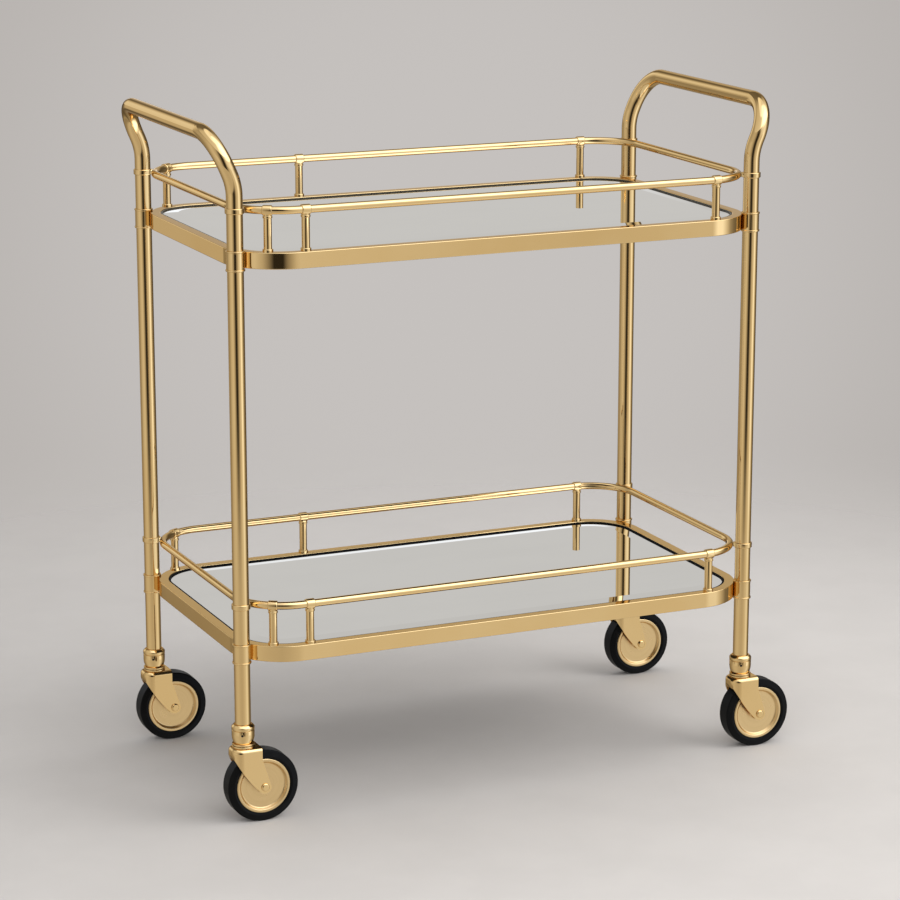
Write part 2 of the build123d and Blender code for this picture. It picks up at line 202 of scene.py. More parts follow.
class StudioSettings(bpy.types.PropertyGroup):
    """Camera, lamps, floor and backdrop."""

    azimuth: angle("Camera azimuth", -24.0, "Turn of the camera from the front, towards the right")
    elevation: angle("Camera elevation", 13.7, "Height of the camera above the horizon")
    distance: length("Camera distance", 4.040, "Distance from the camera to the point it looks at")
    target_x: bpy.props.FloatProperty(
        name="Target X",
        description="Where the camera looks, along the cart",
        default=-0.01077,
        unit="LENGTH",
    )
    target_z: length("Target height", 0.400, "Height of the point that the camera looks at")
    lens: amount("Lens", 124.0, "Focal length in millimetres")
    floor_colour: colour("Floor", (0.60, 0.575, 0.555), "Plain pale floor")
    backdrop: colour("Backdrop", (0.560, 0.534, 0.516), "Plain backdrop behind the cart")
    backdrop_side: colour("Backdrop sides", (0.485, 0.458, 0.438), "Backdrop away from the middle")
    glow_drop: angle("Glow drop", 10.0, "How far under the horizon the backdrop is brightest")
    glow_reach: angle("Glow reach", 10.0, "How far the backdrop's bright middle reaches")
    floor_r: length("Floor radius", 5.0, "Radius of the floor")
    fade_start: length("Fade start", 0.6, "Distance at which the floor starts to fade")
    fade_end: length("Fade end", 1.9, "Distance at which the floor has gone into the backdrop")
    room_light: amount("Room light", 0.70, "Level of the light that comes from all round")
    key_power: amount("Key lamp", 92.0, "Power of the lamp on the right")
    top_power: amount("Top lamp", 13.0, "Power of the lamp overhead")
    fill_power: amount("Fill lamp", 21.0, "Power of the lamp in front")


def rounded_path(corners, radii, steps, closed=False):
    """Points along straight runs joined by arcs.

    Each corner is cut back by its radius times the tangent of half its turn. The arc between the
    cuts is its centre, minus the inward normal times radius cosine, plus the first direction times
    radius sine.
    """
    corners = [np.asarray(c, float) for c in corners]
    count = len(corners)
    runs = []
    for i, (point, r) in enumerate(zip(corners, radii)):
        ends = not closed and i in (0, count - 1)
        if ends or r <= 0:
            runs.append(point[None])
            continue
        before = point - corners[i - 1]
        after = corners[(i + 1) % count] - point
        before /= np.linalg.norm(before)
        after /= np.linalg.norm(after)
        turn = math.acos(np.clip(before @ after, -1, 1))
        inward = after - (after @ before) * before
        inward /= np.linalg.norm(inward)
        centre = point - before * r * math.tan(turn / 2) + inward * r
        sweep = np.linspace(0, turn, steps)[:, None]
        runs.append(centre - inward * r * np.cos(sweep) + before * r * np.sin(sweep))
    return np.concatenate(runs)


def run_lengths(points, closed):
    """Distance along a path at each of its points, and last the whole length where it is closed."""
    ring = np.concatenate([points, points[:1]]) if closed else points
    steps = np.linalg.norm(np.diff(ring, axis=0), axis=1)
    return np.concatenate([[0.0], np.cumsum(steps)])


def grid_mesh(name, points, closed_u, closed_v, sharp=35.0, weld=False):
    """Mesh of quads over a grid of points.

    Quad (i, j) joins point (i, j) to its next row and column, which wrap round where the grid is
    closed. The UV map holds the distances in metres along the middle column and the middle row.
    """
    rows, columns = points.shape[:2]
    i, j = np.meshgrid(
        np.arange(rows if closed_u else rows - 1),
        np.arange(columns if closed_v else columns - 1),
        indexing="ij",
    )
    i, j = i.ravel(), j.ravel()
    steps = ((0, 0), (1, 0), (1, 1), (0, 1))
    quads = np.stack([(i + a) % rows * columns + (j + b) % columns for a, b in steps], -1)
    along = run_lengths(points[:, columns // 2], closed_u)
    across = run_lengths(points[rows // 2], closed_v)
    uv = np.stack([np.stack([along[i + a], across[j + b]], -1) for a, b in steps], 1)
    flat = points.reshape(-1, 3)
    a, b, c, d = (flat[quads[:, k]] for k in range(4))
    volume = np.sum(np.cross(a, b) * c) + np.sum(np.cross(a, c) * d)
    if volume < 0:
        quads, uv = quads[:, ::-1], uv[:, ::-1]
    mesh = bpy.data.meshes.new(name)
    mesh.from_pydata(flat, [], quads)
    mesh.uv_layers.new(name="metres").data.foreach_set("uv", uv.reshape(-1))
    if weld:
        weld_points(mesh)
    shade(mesh, sharp)
    return mesh


def weld_points(mesh):
    """Merges points that lie on each other and removes faces that vanish."""
    work = bmesh.new()
    work.from_mesh(mesh)
    bmesh.ops.remove_doubles(work, verts=work.verts, dist=WELD)
    bmesh.ops.dissolve_degenerate(work, edges=work.edges, dist=WELD / 10)
    work.to_mesh(mesh)
    work.free()


def shade(mesh, sharp):
    """Smooth shading that stays crisp at edges sharper than an angle in degrees."""
    mesh.polygons.foreach_set("use_smooth", np.ones(len(mesh.polygons), bool))
    mesh.set_sharp_from_angle(angle=math.radians(sharp))
    mesh.update()


def lathe(name, profile, origin, axis="Z", turns=96, sharp=35.0):
    """Closed surface of revolution.

    Each profile point holds a radius and a height. The point at turn t is the origin, plus radius
    cosine t and radius sine t on the two directions across the axis, plus the height along it.
    """
    profile = np.asarray(profile, float)
    t = np.linspace(0, 2 * math.pi, turns, endpoint=False)[:, None]
    r, h = profile[None, :, 0], profile[None, :, 1]
    first, second, third = r * np.cos(t), r * np.sin(t), h + 0 * t
    order = (first, second, third) if axis == "Z" else (first, third, second)
    points = np.stack(order, -1) + np.asarray(origin, float)
    return grid_mesh(name, points, True, True, sharp, weld=bool((profile[:, 0] < 1e-9).any()))


def bent_tube(name, path, outer_r, inner_r, around=48):
    """Closed wall of a tube along an open path.

    The section is a circle across the path's direction. The rows run along the path at the outer
    radius and back at the inner radius, so the two ends are rings. The first direction of a section
    is world X with its part along the path taken away, and the second is the cross product of path
    and first.
    """
    tangent = np.gradient(path, axis=0)
    tangent /= np.linalg.norm(tangent, axis=1, keepdims=True)
    first = np.array([1.0, 0, 0]) - tangent[:, :1] * tangent
    first /= np.linalg.norm(first, axis=1, keepdims=True)
    second = np.cross(tangent, first)
    t = np.linspace(0, 2 * math.pi, around, endpoint=False)[None, :, None]
    ring = first[:, None] * np.cos(t) + second[:, None] * np.sin(t)
    outer = path[:, None] + outer_r * ring
    inner = path[::-1, None] + inner_r * ring[::-1]
    return grid_mesh(name, np.concatenate([outer, inner]), True, True, sharp=40.0)


def tray_loop(corner_steps=28, side_steps=10):
    """Arc centres and outward directions round the tray.

    On an arc the centre stands and the direction turns through a quarter. On a side the direction
    stands and the centre moves from one arc's centre to the next.
    """
    sizes = bpy.context.scene.cart_sizes
    x, y = TRAY_SIZE[0] / 2 - sizes.corner_r, TRAY_SIZE[1] / 2 - sizes.corner_r
    centres, directions = [], []
    spots = np.array([[x, y], [-x, y], [-x, -y], [x, -y]])
    for quarter in range(4):
        t = np.linspace(0, math.pi / 2, corner_steps) + quarter * math.pi / 2
        way = np.stack([np.cos(t), np.sin(t)], -1)
        step = np.linspace(0, 1, side_steps + 2)[1:-1, None]
        here, there = spots[quarter], spots[(quarter + 1) % 4]
        centres += [np.repeat(here[None], corner_steps, 0), here + (there - here) * step]
        directions += [way, np.repeat(way[-1:], side_steps, 0)]
    return np.concatenate(centres), np.concatenate(directions)


def tray_surface(name, section, sharp=35.0):
    """Closed section carried round the tray's outline.

    Each section point holds an inset and a height. A point is the arc centre, plus the direction
    times the corner radius less the inset, at that height.
    """
    centres, directions = tray_loop()
    r = bpy.context.scene.cart_sizes.corner_r
    inset, height = np.asarray(section, float).T
    flat = centres[:, None] + directions[:, None] * (r - inset)[None, :, None]
    flat = flat + middle("upper_tray_frame")[:2]
    heights = np.broadcast_to(height, flat.shape[:2])[..., None]
    return grid_mesh(name, np.concatenate([flat, heights], -1), True, True, sharp)


def tray_plate(name, section, sharp):
    """Plate with the tray's outline.

    The section's open run is carried round the outline, and a flat face closes each end of it.
    """
    mesh = tray_surface(name, section, sharp)
    count = len(section)
    work = bmesh.new()
    work.from_mesh(mesh)
    work.verts.ensure_lookup_table()
    rows = len(work.verts) // count
    closing = [f for f in work.faces if {v.index % count for v in f.verts} == {0, count - 1}]
    bmesh.ops.delete(work, geom=closing, context="FACES_ONLY")
    work.verts.ensure_lookup_table()
    for column in (0, count - 1):
        ring = [work.verts[row * count + column] for row in range(rows)]
        work.faces.new(ring)
    bmesh.ops.recalc_face_normals(work, faces=work.faces)
    work.to_mesh(mesh)
    work.free()
    shade(mesh, sharp)
    return mesh


def add_piece(name, mesh, node, material):
    """Puts a mesh in the scene in place of a CAD node, on the node's body, with the material it is
    given.

    Area-weighted normals keep its flat faces flat beside small rounded edges.
    """
    piece = bpy.data.objects.new(name, mesh)
    bpy.context.scene.collection.objects.link(piece)
    mesh.materials.clear()
    mesh.materials.append(MATERIALS[material])
    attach(piece, frame["nodes"][node]["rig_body"])
    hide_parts(node)
    weighted = piece.modifiers.new("flat faces", "WEIGHTED_NORMAL")
    weighted.mode = "FACE_AREA"
    weighted.keep_sharp = True
    return piece


def hide_from_mirrors(piece):
    """Leaves a piece out of reflections, because the photograph's mirrors don't show it."""
    piece.visible_glossy = False


def smoothed_copy(node, material, sharp=32.0, side=0, name="surface"):
    """Welded copy of a CAD node with smooth curved faces.

    A side of -1 or 1 keeps only what lies to the left or right of the cart's middle.
    """
    mesh = frame["nodes"][node].data.copy()
    mesh.name = f"{node}_{name}"
    if side:
        work = bmesh.new()
        work.from_mesh(mesh)
        bmesh.ops.delete(work, geom=[v for v in work.verts if v.co.x * side < 0], context="VERTS")
        work.to_mesh(mesh)
        work.free()
    weld_points(mesh)
    shade(mesh, sharp)
    return add_piece(mesh.name, mesh, node, material)


class Nodes:
    """Shorthand for building one shader tree."""

    def __init__(self, tree):
        self.tree = tree
        tree.nodes.clear()

    def add(self, kind, label, settings=None, **inputs):
        """Adds a node; an input is a number, a colour or another node's output."""
        node = self.tree.nodes.new(kind)
        node.label = label
        for key, value in (settings or {}).items():
            setattr(node, key, value)
        for key, value in inputs.items():
            self.feed(node, key.replace("_", " "), value)
        return node

    def feed(self, node, key, value):
        """Sets or links one input, by name or by number."""
        socket = node.inputs[int(key)] if key.isdigit() else node.inputs[key]
        if isinstance(value, bpy.types.NodeSocket):
            self.tree.links.new(value, socket)
        else:
            socket.default_value = value

    def noise(self, label, vector, scale, detail=3.0, roughness=0.5):
        """Noise factor."""
        sizes = {"Scale": scale, "Detail": detail, "Roughness": roughness}
        return self.add("ShaderNodeTexNoise", label, Vector=vector, **sizes).outputs["Fac"]

    def grain(self, label, vector, scale, detail, roughness=0.5):
        """Noise factor with a scale of its own on each axis."""
        spaced = self.add("ShaderNodeMapping", label + " spacing", Vector=vector, Scale=scale)
        return self.noise(label, spaced.outputs["Vector"], 1.0, detail, roughness)

    def spread(self, label, value, low, high, to_low, to_high, smooth=True):
        """Value moved from one range to another."""
        settings = {"interpolation_type": "SMOOTHSTEP" if smooth else "LINEAR"}
        node = self.add("ShaderNodeMapRange", label, settings, Value=value)
        limits = {"From Min": low, "From Max": high, "To Min": to_low, "To Max": to_high}
        for key, number in limits.items():
            node.inputs[key].default_value = number
        return node.outputs["Result"]

    def mix(self, label, factor, first, second):
        """Colour between two."""
        node = self.add("ShaderNodeMix", label, {"data_type": "RGBA"})
        self.feed(node, "0", factor)
        for index, value in ((6, first), (7, second)):
            if isinstance(value, bpy.types.NodeSocket):
                self.tree.links.new(value, node.inputs[index])
            else:
                node.inputs[index].default_value = tuple(value)[:3] + (1.0,)
        return node.outputs[2]

    def math(self, label, kind, first, second):
        """Result of one operation on two numbers."""
        node = self.add("ShaderNodeMath", label, {"operation": kind})
        self.feed(node, "0", first)
        self.feed(node, "1", second)
        return node.outputs["Value"]

    def bump(self, label, height, strength, distance, normal=None):
        """Normal bent by a height."""
        sizes = {"Strength": strength, "Distance": distance}
        node = self.add("ShaderNodeBump", label, Height=height, **sizes)
        if normal is not None:
            self.feed(node, "Normal", normal)
        return node.outputs["Normal"]


def start_material(name, **settings):
    """New material with its node builder, its principled shader and its coordinates."""
    material = bpy.data.materials.new(name)
    material.use_nodes = True
    nodes = Nodes(material.node_tree)
    shader = nodes.add("ShaderNodeBsdfPrincipled", name)
    output = nodes.add("ShaderNodeOutputMaterial", "output")
    nodes.tree.links.new(shader.outputs["BSDF"], output.inputs["Surface"])
    for key, value in settings.items():
        shader.inputs[key.replace("_", " ")].default_value = value
    MATERIALS[name] = material
    return nodes, shader, nodes.add("ShaderNodeTexCoord", "place").outputs


def gold_material(name, scale, from_uv=False, rough=(0.02, 0.05)):
    """Polished gold plate: toned patches, soft smudges, hairlines and a faint unevenness."""
    colours = bpy.context.scene.cart_colours
    edge = (*colours.gold_edge, 1.0)
    nodes, shader, place = start_material(name, Metallic=1.0, Specular_Tint=edge)
    tone = nodes.noise("toned patches", place["Object"], 9.0, 4.0, 0.55)
    smudge = nodes.noise("smudges", place["Object"], 55.0, 5.0, 0.6)
    lines = nodes.grain("hairlines", place["UV" if from_uv else "Object"], scale, 4.0, 0.65)
    patches = nodes.spread("tone", tone, 0.35, 0.7, 0.0, 0.4)
    toned = nodes.mix("gold", patches, colours.gold, colours.gold_deep)
    brushed = nodes.spread("brushed tone", lines, 0.35, 0.75, 0.0, 0.35)
    nodes.feed(shader, "Base Color", nodes.mix("brushed gold", brushed, toned, colours.gold_deep))
    soft = nodes.spread("smudge gloss", smudge, 0.3, 0.75, *rough)
    fine = nodes.spread("hairline gloss", lines, 0.3, 0.7, -0.01, 0.01)
    nodes.feed(shader, "Roughness", nodes.math("gloss", "ADD", soft, fine))
    waves = nodes.bump("unevenness", tone, 0.02, 0.002)
    nodes.feed(shader, "Normal", nodes.bump("hairline marks", lines, 0.0015, 0.0001, waves))


def satin_material(name):
    """Satin gold with turning marks: thin rings of tone, gloss and height round the disc."""
    colours = bpy.context.scene.cart_colours
    nodes, shader, place = start_material(name, Metallic=1.0)
    rings = nodes.grain("turning marks", place["UV"], (14.0, 5200.0, 1.0), 3.0)
    broad = nodes.grain("broad marks", place["UV"], (3.0, 520.0, 1.0), 2.0)
    cloud = nodes.noise("clouds", place["Object"], 60.0, 4.0)
    marks = nodes.math("marks", "MULTIPLY_ADD", rings, 0.5)
    nodes.tree.links.new(broad, marks.node.inputs[2])
    tone = nodes.spread("tone", marks, 0.5, 1.0, 0.0, 0.3)
    satin = nodes.mix("satin gold", tone, colours.satin, colours.satin_deep)
    nodes.feed(shader, "Base Color", satin)
    nodes.feed(shader, "Roughness", nodes.spread("gloss", cloud, 0.3, 0.7, 0.27, 0.36))
    cut = nodes.bump("turning height", rings, 0.015, 0.0002)
    nodes.feed(shader, "Normal", nodes.bump("broad height", broad, 0.006, 0.0004, cut))


def mirror_material(name):
    """Silvered mirror with faint smears in its gloss."""
    silver = bpy.context.scene.cart_colours.silver
    nodes, shader, place = start_material(name, Metallic=1.0)
    smear = nodes.grain("smears", place["Object"], (6.0, 14.0, 6.0), 4.0, 0.6)
    speck = nodes.noise("dust", place["Object"], 900.0, 2.0)
    tint = nodes.spread("tint", smear, 0.35, 0.75, 0.0, 1.0)
    nodes.feed(shader, "Base Color", nodes.mix("silver", tint, silver, scaled(silver, 0.975)))
    haze = nodes.spread("haze", smear, 0.45, 0.8, 0.006, 0.03)
    dust = nodes.spread("dust gloss", speck, 0.62, 0.72, 0.0, 0.03)
    nodes.feed(shader, "Roughness", nodes.math("gloss", "ADD", haze, dust))
    nodes.feed(shader, "Normal", nodes.bump("glass waves", smear, 0.01, 0.0005))


def rubber_material(name, rubber, dusty, sheen, gloss):
    """Moulded rubber: fine skin, mould sheen and a little dust."""
    nodes, shader, place = start_material(name, Specular_IOR_Level=sheen)
    skin = nodes.noise("skin", place["Object"], 1400.0, 3.0, 0.6)
    dust = nodes.noise("dust", place["Object"], 70.0, 5.0, 0.65)
    turned = nodes.grain("mould rings", place["UV"], (8.0, 1400.0, 1.0), 2.0)
    tone = nodes.spread("dust tone", dust, 0.5, 0.8, 0.0, 0.6)
    nodes.feed(shader, "Base Color", nodes.mix("rubber", tone, rubber, dusty))
    nodes.feed(shader, "Roughness", nodes.spread("gloss", dust, 0.3, 0.75, *gloss))
    ridges = nodes.bump("rings height", turned, 0.03, 0.0003)
    nodes.feed(shader, "Normal", nodes.bump("skin height", skin, 0.05, 0.0002, ridges))


def board_material(name):
    """Black painted board with fibres and a dull sheen."""
    board = bpy.context.scene.cart_colours.board
    nodes, shader, place = start_material(name)
    fibre = nodes.grain("fibres", place["Object"], (60.0, 700.0, 60.0), 4.0)
    tone = nodes.spread("fibre tone", fibre, 0.3, 0.7, 0.0, 1.0)
    nodes.feed(shader, "Base Color", nodes.mix("paint", tone, board, scaled(board, 2.2)))
    nodes.feed(shader, "Roughness", nodes.spread("gloss", fibre, 0.3, 0.7, 0.55, 0.7))
    nodes.feed(shader, "Normal", nodes.bump("fibre height", fibre, 0.15, 0.0003))


def steel_material(name, steel, gloss=(0.26, 0.4)):
    """Plated steel with spangle and fine scratches."""
    nodes, shader, place = start_material(name, Metallic=1.0)
    scratch = nodes.grain("scratches", place["Object"], (900.0, 900.0, 60.0), 3.0)
    patch = nodes.noise("plating", place["Object"], 220.0, 3.0)
    tone = nodes.spread("plating tone", patch, 0.35, 0.65, 0.0, 1.0)
    nodes.feed(shader, "Base Color", nodes.mix("plating colour", tone, steel, scaled(steel, 0.8)))
    nodes.feed(shader, "Roughness", nodes.spread("gloss", scratch, 0.3, 0.7, *gloss))
    nodes.feed(shader, "Normal", nodes.bump("scratch height", scratch, 0.06, 0.0002))


class CART_OT_finishes(bpy.types.Operator):
    """Make the cart's materials"""

    bl_idname = "cart.finishes"
    bl_label = "Make finishes"

    def execute(self, context):
        colours = context.scene.cart_colours
        gold_material("polished_gold_upright", (3800.0, 3800.0, 45.0))
        gold_material("polished_gold_drawn", (45.0, 3800.0, 1.0), from_uv=True)
        gold_material("polished_gold_turned", (2400.0, 2400.0, 2400.0))
        gold_material("polished_gold_pressed", (900.0, 900.0, 900.0), rough=(0.05, 0.11))
        satin_material("satin_gold")
        mirror_material("mirror_silver")
        black = (colours.rubber, colours.rubber_dust)
        # The upper seal's pair is dark rubber with a painted brown reflection of the gold, which the
        # lower seal doesn't get.
        brown = (colours.seal_painted_reflection, colours.seal_painted_reflection_dust)
        rubber_material("tyre_rubber", *black, sheen=0.075, gloss=(0.34, 0.46))
        rubber_material("lower_seal_rubber", *black, sheen=0.05, gloss=(0.55, 0.65))
        rubber_material("upper_seal_rubber", *brown, sheen=0.2, gloss=(0.3, 0.4))
        board_material("board_black")
        steel_material("zinc_steel", colours.steel)
        steel_material("black_steel", colours.black_steel, (0.4, 0.5))
        return {"FINISHED"}


class CART_OT_handles(bpy.types.Operator):
    """Build the two bent handle tubes"""

    bl_idname = "cart.handles"
    bl_label = "Build handles"

    def execute(self, context):
        sizes = context.scene.cart_sizes
        for side, sx in (("left", -1), ("right", 1)):
            node = f"handle_{side}"
            low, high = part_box(node)
            post = middle(f"post_front_{side}")
            outer_x = (low[0] if sx < 0 else high[0]) - sx * TUBE_D / 2
            bar_z = high[2] - TUBE_D / 2
            bend_z = middle("upper_gallery_rail")[2] + sizes.bend_height
            y = post[1]
            corners = [
                (post[0], y, low[2]),
                (post[0], y, bend_z),
                (outer_x, y, bar_z),
                (outer_x, -y, bar_z),
                (post[0], -y, bend_z),
                (post[0], -y, low[2]),
            ]
            radii = [0, sizes.bend_r, sizes.bar_corner_r, sizes.bar_corner_r, sizes.bend_r, 0]
            path = rounded_path(corners, radii, steps=28)
            inner_r = TUBE_D / 2 - sizes.tube_wall
            mesh = bent_tube(node + "_tube", path, TUBE_D / 2, inner_r, around=64)
            add_piece(node + "_tube", mesh, node, "polished_gold_drawn")
        return {"FINISHED"}


class CART_OT_posts(bpy.types.Operator):
    """Build the four posts and the four legs"""

    bl_idname = "cart.posts"
    bl_label = "Build posts and legs"

    def execute(self, context):
        wall = context.scene.cart_sizes.tube_wall
        for corner in CORNERS:
            for kind in ("post", "leg"):
                node = f"{kind}_{corner}"
                low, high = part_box(node)
                centre = middle(node)
                heights = np.linspace(low[2], high[2], POST_RINGS)
                outer = [(TUBE_D / 2, h) for h in heights]
                inner = [(TUBE_D / 2 - wall, h) for h in heights[::-1]]
                mesh = lathe(node + "_tube", outer + inner, (centre[0], centre[1], 0.0), turns=72)
                add_piece(node + "_tube", mesh, node, "polished_gold_upright")
        return {"FINISHED"}


class CART_OT_trays(bpy.types.Operator):
    """Build the two tray frames"""

    bl_idname = "cart.trays"
    bl_label = "Build tray frames"

    def execute(self, context):
        sizes = context.scene.cart_sizes
        for tier in TIERS:
            node = f"{tier}_tray_frame"
            low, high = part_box(node)
            bottom, top = low[2], high[2]
            lip_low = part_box(f"{tier}_backing_board")[0][2] - sizes.ledge_t
            inner = sizes.flange_w - sizes.lip_t
            corners = [
                (0.0, bottom),
                (0.0, top),
                (sizes.flange_w, top),
                (sizes.flange_w, lip_low + sizes.ledge_t),
                (sizes.flange_w + sizes.ledge_w, lip_low + sizes.ledge_t),
                (sizes.flange_w + sizes.ledge_w, lip_low),
                (inner, lip_low),
                (inner, top - sizes.flange_t),
                (sizes.band_wall, top - sizes.flange_t),
                (sizes.band_wall, bottom),
            ]
            edge = sizes.band_edge
            radii = [edge, edge, sizes.flange_edge, 0, 0, 0, 0, 0, 0, edge * BAND_FOOT]
            section = rounded_path(corners, radii, steps=6, closed=True)
            mesh = tray_surface(node + "_band", section)
            add_piece(node + "_band", mesh, node, "polished_gold_drawn")
        return {"FINISHED"}


class CART_OT_mirrors(bpy.types.Operator):
    """Build the two bevelled mirrors"""

    bl_idname = "cart.mirrors"
    bl_label = "Build mirrors"

    def execute(self, context):
        sizes = context.scene.cart_sizes
        for tier in TIERS:
            node = f"{tier}_mirror"
            low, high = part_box(node)
            inset = (TRAY_SIZE[0] - (high[0] - low[0])) / 2
            section = [
                (inset + sizes.bevel_w, high[2]),
                (inset, high[2] - sizes.bevel_drop),
                (inset, low[2]),
                (inset + sizes.bevel_w, low[2]),
            ]
            mesh = tray_plate(node + "_glass", section, sharp=2.0)
            add_piece(node + "_glass", mesh, node, "mirror_silver")
            seal = node + "_seal"
            low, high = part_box(seal)
            outer, inner = (TRAY_SIZE[0] - (high[0] - low[0])) / 2, inset - SEAL_GAP
            corners = [(outer, low[2]), (outer, high[2]), (inner, high[2]), (inner, low[2])]
            section = rounded_path(corners, SEAL_RADII, steps=4, closed=True)
            mesh = tray_surface(seal + "_strip", section)
            add_piece(seal + "_strip", mesh, seal, f"{tier}_seal_rubber")
        return {"FINISHED"}


class CART_OT_rails(bpy.types.Operator):
    """Build the two gallery rails"""

    bl_idname = "cart.rails"
    bl_label = "Build gallery rails"

    def execute(self, context):
        t = np.linspace(0, 2 * math.pi, RAIL_SIDES, endpoint=False)
        for tier in TIERS:
            node = f"{tier}_gallery_rail"
            low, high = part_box(node)
            inset = (TRAY_SIZE[0] - (high[0] - low[0])) / 2 + RAIL_D / 2
            level = (low[2] + high[2]) / 2
            ring = RAIL_D / 2 * np.stack([np.cos(t), np.sin(t)], -1)
            section = (inset, level) + ring
            mesh = tray_surface(node + "_rod", section)
            hide_from_mirrors(add_piece(node + "_rod", mesh, node, "polished_gold_drawn"))
        return {"FINISHED"}


def both_halves(half):
    """Corners of one half of a wheel's section and of its mirror image, in one loop."""
    return half + [(r, -h) for r, h in reversed(half)]


def rim_profile(sizes, hub_half):
    """Closed section of the dished disc, from the bore out to the rim and back."""
    rim, ring = sizes.rim_d / 2, sizes.rim_d / 2 - sizes.rim_ring
    disc, raised = sizes.disc_w / 2, sizes.rim_w / 2
    half = [
        (sizes.bore_d / 2, hub_half),
        (sizes.hub_d / 2, hub_half),
        (sizes.hub_d / 2, disc),
        (ring - sizes.dish_run, disc),
        (ring, raised),
        (rim, raised),
    ]
    return rounded_path(both_halves(half), RIM_RADII + RIM_RADII[::-1], steps=7, closed=True)


def tyre_profile(sizes, half_width):
    """Closed section of the tyre: flat seat, faces that widen and lean in, and a flat tread."""
    seat = sizes.rim_d / 2
    half = [
        (seat, sizes.face_w / 2),
        (seat + sizes.tyre_step, half_width),
        (WHEEL_D / 2, sizes.tread_w / 2),
    ]
    return rounded_path(both_halves(half), TYRE_RADII + TYRE_RADII[::-1], steps=9, closed=True)


class CART_OT_wheels(bpy.types.Operator):
    """Build the four wheel discs and tyres"""

    bl_idname = "cart.wheels"
    bl_label = "Build wheels"

    def execute(self, context):
        sizes = context.scene.cart_sizes
        for corner in CORNERS:
            disc, tyre = f"wheel_centre_{corner}", f"tyre_{corner}"
            centre = middle(tyre)
            hub_half = size(disc)[1] / 2
            profile = rim_profile(sizes, hub_half)
            mesh = lathe(disc + "_turned", profile, centre, axis="Y", turns=128, sharp=30.0)
            add_piece(disc + "_turned", mesh, disc, "satin_gold")
            profile = tyre_profile(sizes, size(tyre)[1] / 2)
            mesh = lathe(tyre + "_moulded", profile, centre, axis="Y", turns=160, sharp=50.0)
            add_piece(tyre + "_moulded", mesh, tyre, "tyre_rubber")
        return {"FINISHED"}


class CART_OT_fittings(bpy.types.Operator):
    """Finish the fittings whose CAD shape is kept"""

    bl_idname = "cart.fittings"
    bl_label = "Finish fittings"

    def execute(self, context):
        for tier in TIERS:
            smoothed_copy(f"{tier}_tray_sleeves", "polished_gold_turned")
            for kind in ("rail_rings", "rail_tees"):
                hide_from_mirrors(smoothed_copy(f"{tier}_{kind}", "polished_gold_turned"))
            spindles = f"{tier}_spindles"
            smoothed_copy(spindles, "polished_gold_turned", side=1, name="right")
            left = smoothed_copy(spindles, "polished_gold_turned", side=-1, name="left")
            hide_from_mirrors(left)
            smoothed_copy(f"{tier}_backing_board", "board_black")
        smoothed_copy("upper_races", "polished_gold_turned")
        smoothed_copy("kingpins", "polished_gold_turned")
        for node in ("joiner_plugs", "joiner_studs", "leg_end_plugs"):
            smoothed_copy(node, "zinc_steel")
        hide_from_mirrors(smoothed_copy("spindle_screws", "zinc_steel"))
        smoothed_copy("socket_grub_screws", "black_steel")
        smoothed_copy("bearing_balls", "zinc_steel", sharp=60.0)
        return {"FINISHED"}


class CART_OT_casters(bpy.types.Operator):
    """Finish the caster sockets, races, forks and axles"""

    bl_idname = "cart.casters"
    bl_label = "Finish casters"

    def execute(self, context):
        for corner in CORNERS:
            for kind in ("caster_socket", "lower_race", "caster_fork", "axle"):
                finish = "pressed" if kind == "caster_fork" else "turned"
                smoothed_copy(f"{kind}_{corner}", f"polished_gold_{finish}")
        return {"FINISHED"}


def level_vector(turn):
    """Level direction at a turn in degrees: 0 towards the camera, positive to its right."""
    a = bpy.context.scene.cart_studio.azimuth
    toward = np.array([math.sin(a), -math.cos(a), 0.0])
    right = np.array([math.cos(a), math.sin(a), 0.0])
    t = math.radians(turn)
    return tuple(toward * math.cos(t) + right * math.sin(t))


